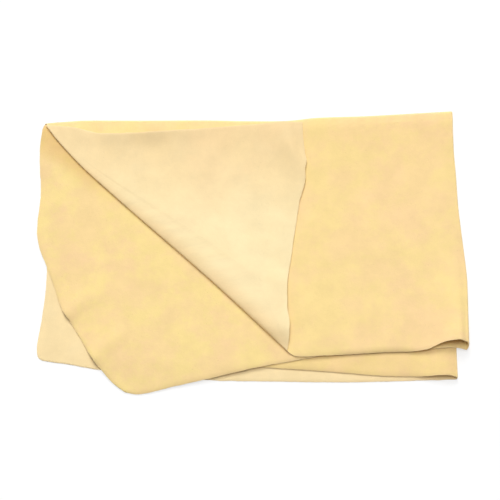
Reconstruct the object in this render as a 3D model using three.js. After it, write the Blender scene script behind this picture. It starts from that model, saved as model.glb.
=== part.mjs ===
// A chamois leather folded in four, with the lower left corner of its top layer turned back.
// Millimetres, +Z up. The skin lies on a table, its fold along the top towards +Y and the
// crease that both pairs of layers share towards +X.
import * as THREE from "three";
import { ParametricGeometry } from "three/addons/geometries/ParametricGeometry.js";

// The leather and how its layers lie on each other
const leather = 1.0; // thickness of the dressed skin
const air = 0.6; // air between two layers
const seam = 0.3; // clearance where a flat meets a crease
const flank = 6; // leather beside a roll that bends with it

// The fold along the top, measured where its rolls begin
const topFold = 380; // from its left end to the right-hand crease
const topRise = 12.5; // how much higher the right end lies
const topSag = 6.3; // how far it dips under its chord
const sagSkew = 1.36; // moves the dip right of the middle when over 1

// The crease down the right-hand side, in front and behind
const frontDrop = 225; // front layers, from the top fold to their raw edge
const frontFlare = 2; // how far the front crease runs outwards
const frontSway = 1.6; // its swing to either side on the way
const backDrop = 252.5; // back layers, from the top fold to their raw edge
const backTuck = 10; // how far the back crease runs inwards
const hemStep = 3; // how far the lower layer of a pair stands out under the upper one
const frontLoop = 6.5; // height that the front crease opens at its raw end
const backLoop = 3.2; // the same on the back crease
const frontReach = 38; // width of the front opening
const backReach = 26; // width of the back opening
const loopLength = 120; // length over which the openings close
const drapeSpread = 1.6; // how much wider the layers above an opening rise than the opening itself

// The corner turned back
const turnAngle = 44.5; // slope of its crease, in degrees
const turnRoll = 3.4; // height of its roll
const turnSettle = 30; // width over which it settles onto the layer below
const turnTop = 239; // its edge along the top
const turnTip = 13; // how far its lower point stops short of the front raw edge
const tipWidth = 2; // width of leather left at that point
const hemFall = 10; // how much lower the front raw edge ends, at the turned corner

// Corners of the layers that lie free
const innerDrop = 257; // inner front layer, down from the top fold
const innerInset = 89; // the same corner, in from the left
const hiddenDrop = 219; // inner back layer
const hiddenInset = 78; // the same, in from the left
const outerDrop = 223; // outer back layer
const outerInset = 7; // the same, in from the left
const droopWidth = 40; // overhang at which a free corner reaches the table

// Grid of each piece
const flatColumns = 18;
const flatRows = 12;
const crowding = 1.5; // draws the columns of a flat towards the crease on its right
const rollSteps = 12;
const lengthSteps = 16;

const pitch = leather + air;
const rollWidth = 0.9; // width of an open roll over its half height
const level = (layer) => leather / 2 + layer * pitch;
const middle = (level(0) + level(3)) / 2;
const smooth = (share) => THREE.MathUtils.smoothstep(share, 0, 1);
const { lerp, clamp, degToRad } = THREE.MathUtils;
const plan = (x, y) => new THREE.Vector2(x, y);

// Lines of the folds in plan
const topReach = flank + seam;
const sideReach = flank + seam + leather / 2 + (pitch + Math.max(frontLoop, backLoop)) / 2;
const slant = Math.SQRT2;
const turnHalf = turnRoll / 2;
const turnReach = (flank + seam + leather / 2 + turnHalf * rollWidth) * slant;

function topLine(x) {
  const share = clamp(x / topFold, 0, 1);
  return topRise * share - topSag * Math.sin(Math.PI * share ** sagSkew);
}

const sideTop = topLine(topFold - sideReach) - topReach;
const frontHem = topRise - frontDrop;
const backHem = topRise - backDrop;

function frontCrease(y) {
  const share = (sideTop - y) / (sideTop - frontHem);
  return topFold + frontFlare * share - frontSway * Math.sin(2 * Math.PI * share);
}

function backCrease(y) {
  const share = (sideTop - y) / (sideTop - backHem);
  return topFold - backTuck * smooth(share);
}

const turnTopY = topLine(0) - topReach;
const turnLowY = frontHem - hemFall;
const turnLine = (y) => -y / Math.tan(degToRad(turnAngle));

// A raw edge from one corner to the next: each sway is a share of the way and the distance
// that the edge then lies to the left of the straight line
function rawEdge(from, to, ...sways) {
  const along = to.clone().sub(from);
  const aside = plan(-along.y, along.x).normalize();
  const points = sways.map(([share, sway]) =>
    from.clone().addScaledVector(along, share).addScaledVector(aside, sway),
  );
  const curve = new THREE.SplineCurve([from, ...points, to]);
  return (share) => curve.getPoint(share);
}

const topEdge = (from, to) => (share) => {
  const x = lerp(from, to, share);
  return plan(x, topLine(x) - topReach);
};
const sideEdge = (crease, hem) => (share) => {
  const y = lerp(sideTop, hem, share);
  return plan(crease(y) - sideReach, y);
};
const turnEdge = (low) => (share) => {
  const y = lerp(turnTopY, low, share);
  return plan(turnLine(y) + turnReach, y);
};
const frontSide = sideEdge(frontCrease, frontHem);
const innerSide = sideEdge(frontCrease, frontHem - hemStep);
const hiddenSide = sideEdge(backCrease, backHem);
const outerSide = sideEdge(backCrease, backHem - hemStep);
const frontTurn = turnEdge(turnLowY);
const freeTurn = turnEdge(turnLowY + turnTip);

const topLeft = topEdge(0, 0)(0);
const innerCorner = plan(innerInset, -innerDrop);
const hiddenCorner = plan(hiddenInset, -hiddenDrop);
const outerCorner = plan(outerInset, -outerDrop);
const turnCorner = plan(turnTop, topLine(turnTop) + leather);

const turnPoint = freeTurn(1).add(plan(tipWidth, 0));

const innerLeft = rawEdge(
  topLeft, innerCorner, [0.17, -17], [0.41, -37.5], [0.66, -34], [0.84, -23], [0.985, -3.5],
);
const innerHem = rawEdge(
  innerCorner, innerSide(1), [0.02, -1.5], [0.07, -1], [0.24, 4.1], [0.54, 9.3],
);
const hiddenLeft = rawEdge(topLeft, hiddenCorner, [0.35, -16], [0.75, -10]);
const hiddenHem = rawEdge(hiddenCorner, hiddenSide(1), [0.45, -3], [0.8, -2]);
const outerLeft = rawEdge(topLeft, outerCorner, [0.45, 5.7], [0.66, 7], [0.83, 3], [0.97, -1.5]);
const outerHem = rawEdge(
  outerCorner, outerSide(1), [0.01, -2.5], [0.03, -3.5], [0.15, -8], [0.42, -12], [0.74, -8],
);
const frontEdge = rawEdge(frontTurn(1), frontSide(1), [0.25, -1.7], [0.57, -2.3], [0.76, -3.6], [0.9, 0]);
const turnFree = rawEdge(freeTurn(0), turnCorner, [0.16, -5.6], [0.31, -7.2], [0.58, -3.7], [0.81, -1]);
const turnHem = rawEdge(turnCorner, turnPoint, [0.17, 5.5], [0.35, 5.6], [0.44, 0.8], [0.75, -2.8]);

// How far a point of the inner front layer lies beyond the layers under it
const outerHemPoints = Array.from({ length: 33 }, (_, step) => outerHem(step / 32));

function overhang(x, y) {
  const next = outerHemPoints.findIndex((point) => point.x > x);
  if (next < 1) return 0;
  const a = outerHemPoints[next - 1];
  const b = outerHemPoints[next];
  const hem = lerp(a.y, b.y, (x - a.x) / (b.x - a.x));
  return Math.max(0, hem - y);
}

// Height that a crease stands open at a point beside it, or that the layers over it rise
function opening(x, y, crease, hem, loop, reach, spread = 1) {
  const along = smooth(1 - (y - hem) / (loopLength * spread));
  const outer = crease(y) - leather / 2 - ((pitch + loop * along) / 2) * rollWidth;
  return loop * along * smooth(1 - (outer - x) / (reach * spread));
}

const backOpening = (x, y) => opening(x, y, backCrease, backHem, backLoop, backReach);
const frontOpening = (x, y) => opening(x, y, frontCrease, frontHem, frontLoop, frontReach);
const drape = (x, y) => opening(x, y, backCrease, backHem, backLoop, backReach, drapeSpread);

// Middle surfaces of the five layers, from the table up
const outerBack = () => level(0);
const innerBack = (x, y) => level(1) + backOpening(x, y);
const innerFront = (x, y) => {
  const fall = level(2) - level(0) - seam;
  return level(2) + drape(x, y) - fall * smooth(overhang(x, y) / droopWidth);
};
const outerFront = (x, y) => level(3) + drape(x, y) + frontOpening(x, y);
const turned = (x, y) => {
  const aside = (x - turnLine(y) - turnReach) / slant;
  return outerFront(x, y) + lerp(turnRoll, pitch, smooth(aside / turnSettle));
};

// A flat of leather spanned between four edges that meet at their ends
function flat(height, top, bottom, left, right) {
  const corners = [top(0), top(1), bottom(0), bottom(1)];
  return (u, v, target) => {
    const across = 1 - (1 - u) ** crowding;
    const a = top(across).lerp(bottom(across), v);
    const b = left(v).lerp(right(v), across);
    const c = corners[0].clone().lerp(corners[1], across);
    const d = corners[2].clone().lerp(corners[3], across);
    const spot = a.add(b).sub(c.lerp(d, v));
    return target.set(spot.x, spot.y, height(spot.x, spot.y));
  };
}

// Shares of a crease: its first quarter and its last are flanks, the half between them is the roll
const crossing = (share) => ({
  before: Math.max(0, 1 - 4 * share),
  turn: clamp(2 * share - 0.5, 0, 1) * Math.PI,
  after: Math.max(0, 4 * share - 3),
});

// The crease down the right-hand side, from the upper layer round to the lower one
function sideCrease(crease, upper, lower, hem) {
  return (u, v, target) => {
    const { before, turn, after } = crossing(u);
    const y = lerp(sideTop, hem - hemStep * u, v);
    const outer = crease(y) - leather / 2;
    const inner = crease(y) - sideReach + seam;
    const half = (upper(outer, y) - lower(outer, y)) / 2;
    const start = outer - half * rollWidth;
    const x = lerp(start, inner, before + after) + half * rollWidth * Math.sin(turn);
    if (before > 0) return target.set(x, y, upper(x, y));
    if (after > 0) return target.set(x, y, lower(x, y));
    return target.set(x, y, lower(outer, y) + half * (1 + Math.cos(turn)));
  };
}

// A point of the paired layers as they pass over the top: rise is its height over their middle
function overTop(x, rise, share, target) {
  const { before, turn, after } = crossing(share);
  const radius = pitch + rise;
  const y = topLine(x) - flank * (before + after) + radius * Math.sin(turn);
  return target.set(x, y, middle + radius * Math.cos(turn));
}

const topCrease = (rise, to) => (u, v, target) => overTop(lerp(0, to, u), rise, v, target);

// The shared crease where it passes over the top with the layers
function topTurn(u, v, target) {
  const { before, turn, after } = crossing(u);
  const half = pitch / 2;
  const inner = topFold - sideReach + seam;
  const start = topFold - leather / 2 - half * rollWidth;
  const x = lerp(start, inner, before + after) + half * rollWidth * Math.sin(turn);
  return overTop(x, half * Math.cos(turn), v, target);
}

// The slanting crease of the turned corner, from the front layer round to the turned side
function turnCrease(u, v, target) {
  const { before, turn, after } = crossing(u);
  const y = lerp(turnTopY, turnLowY + turnTip * u, v);
  const width = turnHalf * rollWidth * slant;
  const outer = turnLine(y) + (leather / 2) * slant;
  const start = outer + width;
  const x = start + flank * slant * (before + after) - width * Math.sin(turn);
  if (before > 0) return target.set(x, y, outerFront(x, y));
  if (after > 0) return target.set(x, y, turned(x, y));
  return target.set(x, y, outerFront(start, y) + turnHalf * (1 - Math.cos(turn)));
}

// Gives a surface the thickness of the leather: both faces, and the cut edge all round
function thicken(surface, slices, stacks) {
  const skin = new ParametricGeometry(surface, slices, stacks);
  const place = skin.getAttribute("position");
  const normal = skin.getAttribute("normal");
  const points = [];
  for (const side of [leather / 2, -leather / 2]) {
    for (let i = 0; i < place.count; i++) {
      const point = new THREE.Vector3().fromBufferAttribute(normal, i).multiplyScalar(side);
      points.push(...point.add(new THREE.Vector3().fromBufferAttribute(place, i)));
    }
  }
  const under = place.count;
  const faces = [...skin.index.array];
  for (let i = 0; i < skin.index.count; i += 3) {
    const [a, b, c] = skin.index.array.subarray(i, i + 3);
    faces.push(a + under, c + under, b + under);
  }
  const row = slices + 1;
  const rim = [];
  for (let i = 0; i < slices; i++) rim.push(i);
  for (let i = 0; i < stacks; i++) rim.push(i * row + slices);
  for (let i = slices; i > 0; i--) rim.push(stacks * row + i);
  for (let i = stacks; i > 0; i--) rim.push(i * row);
  rim.forEach((a, i) => {
    const b = rim[(i + 1) % rim.length];
    faces.push(b, a, a + under, b, a + under, b + under);
  });
  const solid = new THREE.BufferGeometry();
  solid.setAttribute("position", new THREE.Float32BufferAttribute(points, 3));
  solid.setIndex(faces);
  solid.computeVertexNormals();
  return solid;
}

const suede = new THREE.MeshStandardMaterial({ color: 0xe9c488, roughness: 0.95, metalness: 0 });
const fleshSide = new THREE.MeshStandardMaterial({ color: 0xf2d8a6, roughness: 0.92, metalness: 0 });

const skin = new THREE.Group();

function piece(name, surface, slices, stacks, material) {
  const mesh = new THREE.Mesh(thicken(surface, slices, stacks), material);
  mesh.name = name;
  skin.add(mesh);
}

const topRun = topFold - sideReach;
const pairTop = topEdge(0, topRun);
const frontTop = topEdge(frontTurn(0).x, topRun);
const turnLow = (share) => freeTurn(1).lerp(turnPoint, share);
const frontRoll = sideCrease(frontCrease, outerFront, innerFront, frontHem);
const backRoll = sideCrease(backCrease, innerBack, outerBack, backHem);

const backOuterFlat = flat(outerBack, pairTop, outerHem, outerLeft, outerSide);
const backInnerFlat = flat(innerBack, pairTop, hiddenHem, hiddenLeft, hiddenSide);
const frontInnerFlat = flat(innerFront, pairTop, innerHem, innerLeft, innerSide);
const frontOuterFlat = flat(outerFront, frontTop, frontEdge, frontTurn, frontSide);
const turnedFlat = flat(turned, turnFree, turnLow, freeTurn, turnHem);

piece("back_outer_panel", backOuterFlat, flatColumns, flatRows, fleshSide);
piece("back_inner_panel", backInnerFlat, flatColumns, flatRows, suede);
piece("front_inner_panel", frontInnerFlat, flatColumns, flatRows, suede);
piece("front_outer_panel", frontOuterFlat, flatColumns, flatRows, suede);
piece("turned_corner", turnedFlat, flatColumns, flatRows, fleshSide);
piece("turned_corner_crease", turnCrease, rollSteps, lengthSteps, suede);
piece("right_crease_front", frontRoll, rollSteps, lengthSteps, suede);
piece("right_crease_back", backRoll, rollSteps, lengthSteps, suede);
piece("top_crease_outer", topCrease(pitch / 2, topRun), lengthSteps, rollSteps, suede);
piece("top_crease_inner", topCrease(-pitch / 2, topRun), lengthSteps, rollSteps, suede);
piece("top_right_turn", topTurn, rollSteps, rollSteps, suede);

// The part stands on the table, centred on its own outline
const box = new THREE.Box3().setFromObject(skin);
const centre = box.getCenter(new THREE.Vector3());
skin.position.set(-centre.x, -centre.y, -box.min.z);

const chamois = new THREE.Group();
chamois.add(skin);

export default chamois;
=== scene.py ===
"""A chamois leather folded in four, with the corner of its top layer turned back.

Plan sizes are in millimetres from the left end of the top fold, x to the right and y away
from the viewer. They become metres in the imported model's frame where the vertices are placed.
"""

from __future__ import annotations

import logging
import math
from dataclasses import dataclass, field
from enum import Enum, IntEnum
from typing import Callable, NamedTuple

import bmesh
import bpy
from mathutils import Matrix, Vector, noise


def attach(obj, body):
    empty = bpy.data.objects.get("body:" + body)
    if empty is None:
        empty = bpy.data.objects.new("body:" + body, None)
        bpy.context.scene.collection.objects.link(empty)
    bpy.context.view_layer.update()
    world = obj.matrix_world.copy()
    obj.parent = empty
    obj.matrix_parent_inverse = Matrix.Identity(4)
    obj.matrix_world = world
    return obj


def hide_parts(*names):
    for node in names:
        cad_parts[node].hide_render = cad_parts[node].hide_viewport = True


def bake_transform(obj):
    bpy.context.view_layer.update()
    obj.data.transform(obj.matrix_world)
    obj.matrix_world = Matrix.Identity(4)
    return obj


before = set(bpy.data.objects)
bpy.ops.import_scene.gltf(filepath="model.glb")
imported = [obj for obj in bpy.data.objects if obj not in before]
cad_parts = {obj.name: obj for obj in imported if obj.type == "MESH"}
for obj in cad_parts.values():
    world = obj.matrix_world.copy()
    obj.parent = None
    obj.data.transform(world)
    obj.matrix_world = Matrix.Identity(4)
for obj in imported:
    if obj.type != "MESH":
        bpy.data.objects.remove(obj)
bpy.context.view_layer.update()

log = logging.getLogger("chamois")

Knots = tuple[tuple[float, float], ...]
Colour = tuple[float, float, float]
Edge = Callable[[float], Vector]

MM = 0.001

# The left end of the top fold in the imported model's frame.
ORIGIN_X = -190.794
ORIGIN_Y = 121.252

# The length of the top fold.
TOP_LENGTH = 379.4

# The way along x for each step square to the slanting crease, which lies near 45 degrees.
SLANT = math.sqrt(2.0)

# The share of a crease's leather that lies flat before its roll, and after it.
FLAT_SHARE = 0.25


class Face(Enum):
    """Material slots of a sheet: its two sides and its cut edge."""

    OUTSIDE = 0
    INSIDE = 1
    CUT = 2


class Layer(IntEnum):
    """The layers of the folded skin, counted up from the table."""

    OUTER_BACK = 0
    INNER_BACK = 1
    INNER_FRONT = 2
    OUTER_FRONT = 3


class Spot(NamedTuple):
    """A point of a sheet: its place, where it lies in the flat skin, and its wear.

    Args:
        x, y, z: place in millimetres.
        u, v: place in the flat skin, in millimetres.
        rim: 1 on a raw edge, 0 away from it.
        fold: 1 on a crease, 0 away from it; below the top fold's roll it fades out, and the lighter nap
            it gives there is painted light.
        tan: 1 where the skin is deeper in colour or in painted shade, 0 where it is plain.
    """

    x: float
    y: float
    z: float
    u: float
    v: float
    rim: float = 0.0
    fold: float = 0.0
    tan: float = 0.0


class Place(NamedTuple):
    """A point of a layer in plan.

    Args:
        x, y: the point.
        along: 0 on the layer's left edge, 1 at its crease.
        down: 0 at the top, 1 on the raw hem.
        up: distance from the hem.
    """

    x: float
    y: float
    along: float
    down: float
    up: float


def clamp(value: float, low: float = 0.0, high: float = 1.0) -> float:
    """Hold a value between two limits."""
    return min(max(value, low), high)


def lerp(a: float, b: float, share: float) -> float:
    """Go a share of the way from a to b."""
    return a + (b - a) * share


def smooth(share: float) -> float:
    """Ease a share between 0 and 1 in and out."""
    t = clamp(share)
    return t * t * (3.0 - 2.0 * t)


def through(knots: Knots, x: float) -> float:
    """Height of a smooth line through knots that go from left to right.

    Args:
        knots: points of the line.
        x: where to read it.

    Returns:
        The line's y at x.
    """
    last = len(knots) - 1
    x = clamp(x, knots[0][0], knots[last][0])
    i = 0
    while i < last - 1 and knots[i + 1][0] < x:
        i += 1

    def slope(k: int) -> float:
        """Slope of the line at a knot."""
        a, b = knots[max(k - 1, 0)], knots[min(k + 1, last)]
        return (b[1] - a[1]) / (b[0] - a[0])

    (x0, y0), (x1, y1) = knots[i], knots[i + 1]
    span = x1 - x0
    t = (x - x0) / span
    rise = (1 + 2 * t) * (1 - t) ** 2 * y0 + t * t * (3 - 2 * t) * y1
    return rise + span * (t * (1 - t) ** 2 * slope(i) - t * t * (1 - t) * slope(i + 1))


def crossing(share: float) -> tuple[float, float, float]:
    """Split the way across a crease into its flat beginning, its roll and its flat end.

    Args:
        share: 0 to 1 across the crease.

    Returns:
        Share of the beginning still to go, angle turned, share of the end gone.
    """
    turn = clamp((share - FLAT_SHARE) / (1 - 2 * FLAT_SHARE)) * math.pi
    return max(0.0, 1 - share / FLAT_SHARE), turn, max(0.0, (share - 1) / FLAT_SHARE + 1)


def crowd(step: int, steps: int, first: float, last: float) -> float:
    """Share of a step, with a narrow first or last cell beside a raw edge.

    Args:
        step: which step, 0 to steps.
        steps: number of steps.
        first: width of the first cell as a share of the whole, or 0 for an even one.
        last: the same for the last cell.

    Returns:
        The share.
    """
    if step == 0:
        return 0.0
    if step == steps:
        return 1.0
    begin = 1 if first else 0
    end = steps - 1 if last else steps
    return lerp(first, 1 - last, (step - begin) / (end - begin))


def put(name: str, data: bpy.types.ID) -> bpy.types.Object:
    """Put a mesh, lamp or camera into the scene.

    Args:
        name: the object's name.
        data: its mesh, lamp or camera.

    Returns:
        The object.
    """
    made = bpy.data.objects.new(name, data)
    bpy.context.scene.collection.objects.link(made)
    return made


def stand(thing: bpy.types.Object, middle: Vector, way: Vector) -> None:
    """Stand a lamp or camera off a point, looking back at it."""
    thing.location = middle + way
    thing.rotation_euler = (-way).to_track_quat("-Z", "Y").to_euler()


@dataclass(frozen=True)
class Leather:
    """The dressed skin and the air between its layers."""

    thickness: float = 1.0
    air: float = 0.6

    @property
    def pitch(self) -> float:
        """Height from one layer to the next."""
        return self.thickness + self.air

    def level(self, layer: Layer) -> float:
        """Height of the middle of a layer."""
        return self.thickness / 2 + layer * self.pitch


LEATHER = Leather()


@dataclass(frozen=True)
class Swell:
    """A soft rise of a layer, longer along its own line than across it.

    Args:
        x, y: its middle.
        turn: direction of its line, in degrees.
        length, width: how far it reaches along the line and across it.
        height: how high it rises.
    """

    x: float
    y: float
    turn: float
    length: float
    width: float
    height: float

    def at(self, x: float, y: float) -> float:
        """Height that the rise adds at a point.

        Args:
            x, y: the point in plan.

        Returns:
            The height.
        """
        c, s = math.cos(math.radians(self.turn)), math.sin(math.radians(self.turn))
        along = ((x - self.x) * c + (y - self.y) * s) / self.length
        aside = ((y - self.y) * c - (x - self.x) * s) / self.width
        return self.height * math.exp(-(along * along + aside * aside))


@dataclass
class RawEdge:
    """A cut edge of the skin in plan, smooth through its knots and followed by its length.

    Args:
        knots: points that it passes through.
        seed: picks the small strays of the knife.
        wobble: how far the knife strays.
        waves: length and strength of each kind of stray.
        wave_seed: sets the kinds apart.
        calm: length at each end over which the strays fade.
        steps: number of short straights that the edge is measured by.
    """

    knots: Knots
    seed: float = 0.0
    wobble: float = 0.35
    waves: Knots = ((9.0, 1.0), (3.1, 0.5))
    wave_seed: float = 7.0
    calm: float = 12.0
    steps: int = 600
    points: list[Vector] = field(default_factory=list)
    lengths: list[float] = field(default_factory=list)

    def __post_init__(self) -> None:
        """Lay the edge through its knots and measure it."""
        knots = [Vector(knot) for knot in self.knots]
        ways = [0.0]
        for a, b in zip(knots, knots[1:]):
            ways.append(ways[-1] + (b - a).length)
        axes = [tuple((way, knot[axis]) for way, knot in zip(ways, knots)) for axis in (0, 1)]
        for step in range(self.steps + 1):
            way = ways[-1] * step / self.steps
            self.points.append(Vector((through(axes[0], way), through(axes[1], way))))
        self.lengths.append(0.0)
        for a, b in zip(self.points, self.points[1:]):
            self.lengths.append(self.lengths[-1] + (b - a).length)

    @property
    def length(self) -> float:
        """Length of the edge."""
        return self.lengths[-1]

    def _last(self, before: Callable[[int], bool]) -> int:
        """Find the last step that comes before a place on the edge.

        Args:
            before: whether a step comes before the place.

        Returns:
            The step, short of the last one.
        """
        low, high = 0, self.steps
        while high - low > 1:
            half = (low + high) // 2
            low, high = (half, high) if before(half) else (low, half)
        return low

    def at(self, share: float) -> Vector:
        """Point at a share of the edge's length, with the small strays of the knife.

        Args:
            share: 0 at the start, 1 at the end.

        Returns:
            The point in plan.
        """
        way = clamp(share) * self.length
        low = self._last(lambda step: self.lengths[step] <= way)
        a, b = self.points[low], self.points[low + 1]
        span = self.lengths[low + 1] - self.lengths[low]
        point = a.lerp(b, (way - self.lengths[low]) / span)
        aside = Vector((a.y - b.y, b.x - a.x)).normalized()
        ease = smooth(way / self.calm) * smooth((self.length - way) / self.calm)
        stray = 0.0
        for kind, (length, strength) in enumerate(self.waves):
            seed = self.seed + kind * self.wave_seed
            stray += strength * noise.noise(Vector((way / length, seed, 0.0)))
        return point + aside * (stray * self.wobble * ease)

    def x_at(self, y: float) -> float:
        """Where an edge that runs down the skin passes a height in plan."""
        return self.points[self._last(lambda step: self.points[step].y >= y) + 1].x

    def y_at(self, x: float) -> float:
        """Where an edge that runs across the skin passes a place along it."""
        return self.points[self._last(lambda step: self.points[step].x <= x) + 1].y


@dataclass
class Reach:
    """How far a layer reaches: its raw left edge and its raw hem."""

    left: RawEdge
    hem: RawEdge

    def beyond(self, x: float, y: float) -> float:
        """Distance of a point in plan outside the layer, less than 0 over it."""
        return max(self.left.x_at(y) - x, self.hem.y_at(x) - y)


@dataclass
class Flat:
    """A layer spanned in plan between four edges that meet at their ends."""

    top: Edge
    bottom: Edge
    left: Edge
    right: Edge

    def at(self, across: float, down: float) -> Vector:
        """Point in plan.

        Args:
            across: 0 on the left edge, 1 on the right.
            down: 0 on the top edge, 1 on the bottom.

        Returns:
            The point.
        """
        a = self.top(across).lerp(self.bottom(across), down)
        b = self.left(down).lerp(self.right(down), across)
        c = self.top(0).lerp(self.top(1), across)
        d = self.bottom(0).lerp(self.bottom(1), across)
        return a + b - c.lerp(d, down)


@dataclass(frozen=True)
class Buckle:
    """Where a layer stands up from the one below, beside the crease that joins the two.

    Args:
        height: how high it stands at the raw edge.
        near: distance from the crease to its highest line.
        reach: distance from the crease to where it lies down again.
        length: how far it runs up from the raw edge.
        gape: share of the height that is left at the crease itself.
        spread: how much wider and longer the layers over it rise.
        hang: how far past the crease those layers take to come down again.
        lead: where they lie down, as a multiple of hang past the crease.
    """

    height: float
    near: float
    reach: float
    length: float
    gape: float
    spread: float = 1.15
    hang: float = 11.0
    lead: float = 1.2

    def _shape(self, aside: float, up: float, reach: float, length: float) -> float:
        """Height of a rise.

        Args:
            aside: distance from the crease.
            up: distance from the raw edge.
            reach: how far the rise goes from the crease.
            length: how far it goes up from the raw edge.

        Returns:
            The height.
        """
        across = lerp(self.gape, 1.0, smooth(aside / self.near))
        across *= smooth((reach - aside) / (reach - self.near))
        return self.height * smooth(1 - up / length) * across

    def at(self, aside: float, up: float) -> float:
        """Height of the layer itself, from the distances to the crease and to the raw edge."""
        return self._shape(aside, up, self.reach, self.length)

    def over(self, aside: float, up: float) -> float:
        """Height of the layers that lie over it, which never dip under it.

        Args:
            aside: distance from the crease.
            up: distance from the raw edge.

        Returns:
            The height.
        """
        rise = self._shape(aside, up, self.reach * self.spread, self.length * self.spread)
        return rise * smooth(aside / self.hang + self.lead)


@dataclass(frozen=True)
class RightCrease:
    """A right-hand crease: its outer line in plan, its raw end and how it gapes there.

    Args:
        knots: the outer line, as distances below the top fold and places along it.
        hem: where its upper layer ends.
        step: how much further its lower layer reaches.
        buckle: how its upper layer stands up beside it.
        tuck: how far it runs in to the left on its way down.
        roll_width: depth of the closed crease, as a share of half its height.
        gape_width: the same for the height that it gains by gaping.
    """

    knots: Knots
    hem: float
    step: float
    buckle: Buckle
    tuck: float = 0.0
    roll_width: float = 0.9
    gape_width: float = 0.45

    def line(self, y: float) -> float:
        """Outer line of the crease, at y."""
        return through(self.knots, -y) - self.tuck * smooth(y / self.hem)

    def half(self, y: float) -> float:
        """Half the height of the crease, which gapes towards its raw end."""
        return (LEATHER.pitch + self.buckle.at(0.0, y - self.hem)) / 2

    def width(self, half: float) -> float:
        """Depth of the crease, from half its height."""
        flat = LEATHER.pitch / 2
        return self.roll_width * flat + self.gape_width * (half - flat)

    def start(self, y: float) -> float:
        """Where a layer leaves the flat for the crease, left of its outer line."""
        return self.line(y) - LEATHER.thickness / 2 - self.width(self.half(y))

    def hem_at(self, share: float) -> float:
        """Raw end of the crease: 0 on the upper layer, 1 on the lower one."""
        return self.hem - self.step * share


@dataclass(frozen=True)
class SlantingCrease:
    """The crease of the turned corner: a roll with a low foot and a wide crown.

    Args:
        angle: its slope in plan, in degrees.
        sag: how far it sags from a straight line, at distances below the top fold.
        low: its lower end.
        tip: how much higher the turned side ends.
        flat: half the height of its foot, and of its crown where that is pressed flat.
        crown: half the height of its full crown.
        foot_width, crown_width: how far the full foot and crown reach back.
        foot_taper, crown_taper: how far below the top fold they are full.
        tip_taper: how far above the tip they still are.
        room_share: how much of the turned corner's width the crown may take.
        hem: the turned corner's raw edge on the right.
    """

    angle: float = 44.53
    sag: Knots = (
        (0.0, 0.0), (15.0, 4.0), (30.0, 6.4), (46.0, 7.8),
        (88.0, 5.9), (128.0, 2.6), (165.0, 0.6), (225.0, 0.2),
    )
    low: float = -224.0
    tip: float = 4.5
    flat: float = 0.55
    crown: float = 4.4
    foot_width: float = 2.6
    crown_width: float = 28.0
    foot_taper: float = 35.0
    crown_taper: float = 150.0
    tip_taper: float = 22.0
    room_share: float = 0.62
    hem: RawEdge = field(
        default_factory=lambda: RawEdge(
            (
                (239.5, 1.8), (240.4, -19.4), (242.0, -32.0), (242.6, -38.5), (241.3, -47.0),
                (241.4, -55.5), (239.9, -64.5), (236.4, -75.5), (234.4, -88.0), (231.2, -108.0),
                (227.4, -134.0), (224.4, -153.0), (223.6, -166.0), (223.9, -183.0),
                (225.4, -193.5), (224.7, -209.0), (223.7, -217.5),
            ),
            seed=8.0,
        )
    )

    def line(self, y: float) -> float:
        """Outer line of the crease, at y."""
        return -y / math.tan(math.radians(self.angle)) - through(self.sag, -y)

    def crown_share(self, y: float) -> float:
        """How full the crown is, which fills slowly from the top fold down."""
        return smooth(-y / self.crown_taper)

    def tip_share(self, y: float) -> float:
        """How full the roll still is near its tip."""
        return smooth((y - self.low - self.tip) / self.tip_taper)

    def crown_height(self, y: float) -> float:
        """Half the height of the crown, which is flat at the top fold and at the tip."""
        return lerp(self.flat, self.crown, self.crown_share(y) * self.tip_share(y))

    def start(self, y: float) -> float:
        """Where the outer front layer leaves the flat to turn back.

        Args:
            y: how far down the crease, in plan.

        Returns:
            The place along x.
        """
        foot_share = smooth(-y / self.foot_taper) * self.tip_share(y)
        width = lerp(LEATHER.pitch / 2, self.foot_width, foot_share)
        return self.line(y) + (LEATHER.thickness / 2 + width) * SLANT

    def end(self, y: float) -> float:
        """Where the turned side begins, inside its own raw edge.

        Args:
            y: how far down the crease, in plan.

        Returns:
            The place along x.
        """
        room = (self.hem.x_at(y) - self.line(y)) / SLANT
        width = lerp(LEATHER.pitch / 2, self.crown_width, self.crown_share(y))
        width = min(LEATHER.thickness / 2 + width, self.room_share * room)
        return self.line(y) + width * SLANT

    def unfolded(self, x: float, y: float) -> tuple[float, float]:
        """Mirror a point of the turned side across the crease.

        Args:
            x, y: the point in plan.

        Returns:
            Where it lies in the flat skin.
        """
        angle = math.radians(self.angle)
        aside = (x - self.line(y)) * math.sin(angle)
        return x - 2 * aside * math.sin(angle), y - 2 * aside * math.cos(angle)


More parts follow.
